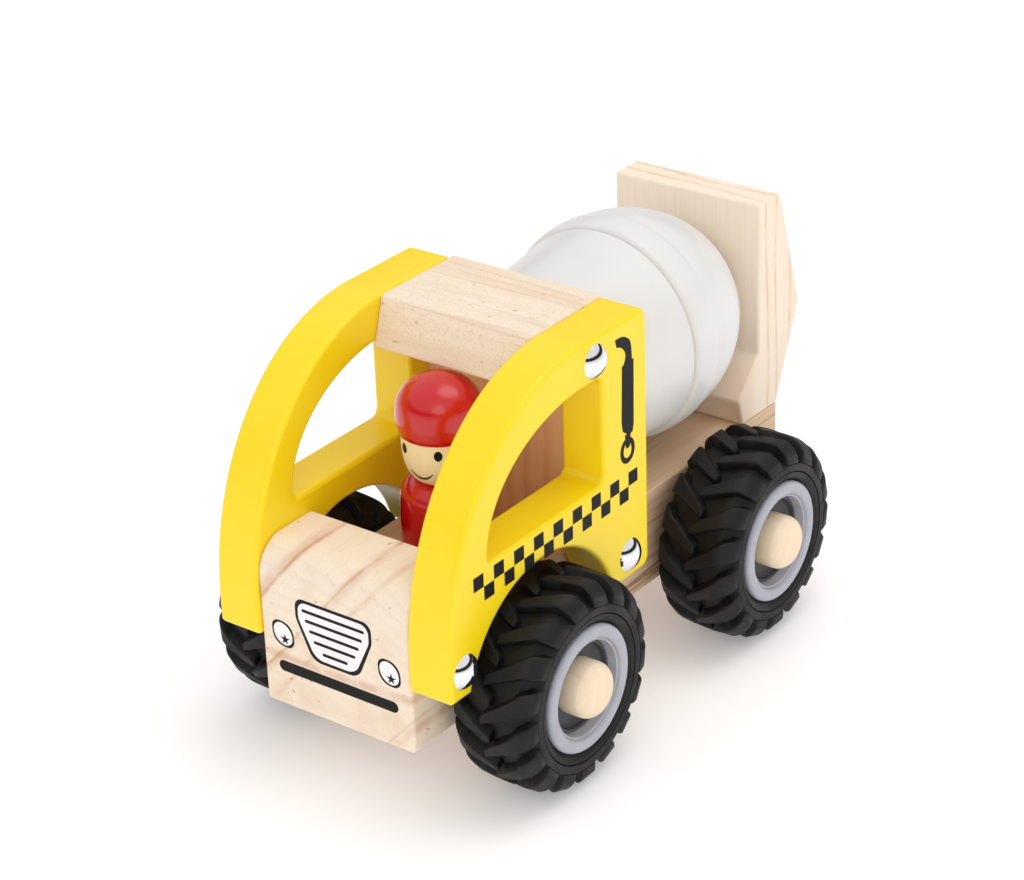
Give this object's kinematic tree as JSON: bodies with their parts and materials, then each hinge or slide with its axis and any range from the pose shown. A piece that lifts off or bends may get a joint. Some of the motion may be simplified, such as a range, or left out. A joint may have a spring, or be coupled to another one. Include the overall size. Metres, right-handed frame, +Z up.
{
  "type": "push along truck",
  "caption": "Wooden push-along mixer truck: open cab with a driver between curved side panels, chunky tyres that roll, and a barrel drum that turns in front of a rear block.",
  "frame": {"origin": "centre of the truck's outline, on the floor that the tyres stand on", "axes": "+Z up, -Y towards the truck's front, +X towards the truck's left side"},
  "size_m": [0.103, 0.17, 0.1074],
  "materials": {
    "beam_wood": "oiled pine, long grain",
    "hood_wood": "pine, upright grain with brown streaks",
    "panel_paint": "satin yellow paint over wood",
    "roof_wood": "pine, grain across, porous end",
    "wall_wood": "reddish brown pine",
    "block_wood": "pale pine, upright grain",
    "dowel_wood": "plain dowel",
    "bolt_steel": "zinc",
    "screw_chrome": "polished dome",
    "driver_paint": "gloss red paint over wood",
    "driver_skin": "pale varnished wood",
    "drum_paint": "pale grey satin paint over wood",
    "rod_steel": "bright rod",
    "washer_steel": "plain washer",
    "tyre_rubber": "black rubber, matt",
    "rim_plastic": "lilac grey plastic",
    "disc_plastic": "dark grey plastic",
    "cap_wood": "pale sanded wood",
    "spacer_plastic": "grey nylon"
  },
  "bodies": {
    "truck": {"chassis": "beam_wood", "hood_block": "hood_wood", "left_panel": "panel_paint", "right_panel": "panel_paint", "roof_block": "roof_wood", "back_wall": "wall_wood", "rear_block": "block_wood", "front_dowels": "dowel_wood", "block_screws": "bolt_steel", "screw_left_front": "screw_chrome", "screw_left_rear": "screw_chrome", "screw_left_top": "screw_chrome", "screw_right_front": "screw_chrome", "screw_right_rear": "screw_chrome", "screw_right_top": "screw_chrome", "driver_body": "driver_paint", "driver_head": "driver_skin", "driver_cap": "driver_paint", "driver_pin": "dowel_wood", "drum_rod": "rod_steel", "drum_washer_front": "washer_steel", "drum_washer_rear": "washer_steel"},
    "front_wheels": {"front_axle": "rod_steel", "tyre_front_left": "tyre_rubber", "tyre_front_right": "tyre_rubber", "rim_front_left": "rim_plastic", "rim_front_right": "rim_plastic", "disc_front_left": "disc_plastic", "disc_front_right": "disc_plastic", "cap_front_left": "cap_wood", "cap_front_right": "cap_wood", "spacer_front_left": "spacer_plastic", "spacer_front_right": "spacer_plastic"},
    "rear_wheels": {"rear_axle": "rod_steel", "tyre_rear_left": "tyre_rubber", "tyre_rear_right": "tyre_rubber", "rim_rear_left": "rim_plastic", "rim_rear_right": "rim_plastic", "disc_rear_left": "disc_plastic", "disc_rear_right": "disc_plastic", "cap_rear_left": "cap_wood", "cap_rear_right": "cap_wood", "spacer_rear_left": "spacer_plastic", "spacer_rear_right": "spacer_plastic"},
    "mixer": {"drum": "drum_paint"}
  },
  "joints": [
    {"name": "front_roll", "type": "hinge", "parent": "truck", "child": "front_wheels", "pos_m": [0, -0.0489, 0.027], "axis": [1, 0, 0], "continuous": true},
    {"name": "rear_roll", "type": "hinge", "parent": "truck", "child": "rear_wheels", "pos_m": [0, 0.0363, 0.027], "axis": [1, 0, 0], "continuous": true},
    {"name": "drum_turn", "type": "hinge", "parent": "truck", "child": "mixer", "pos_m": [0, 0.03, 0.0777], "axis": [0, 1, 0], "continuous": true}
  ]
}
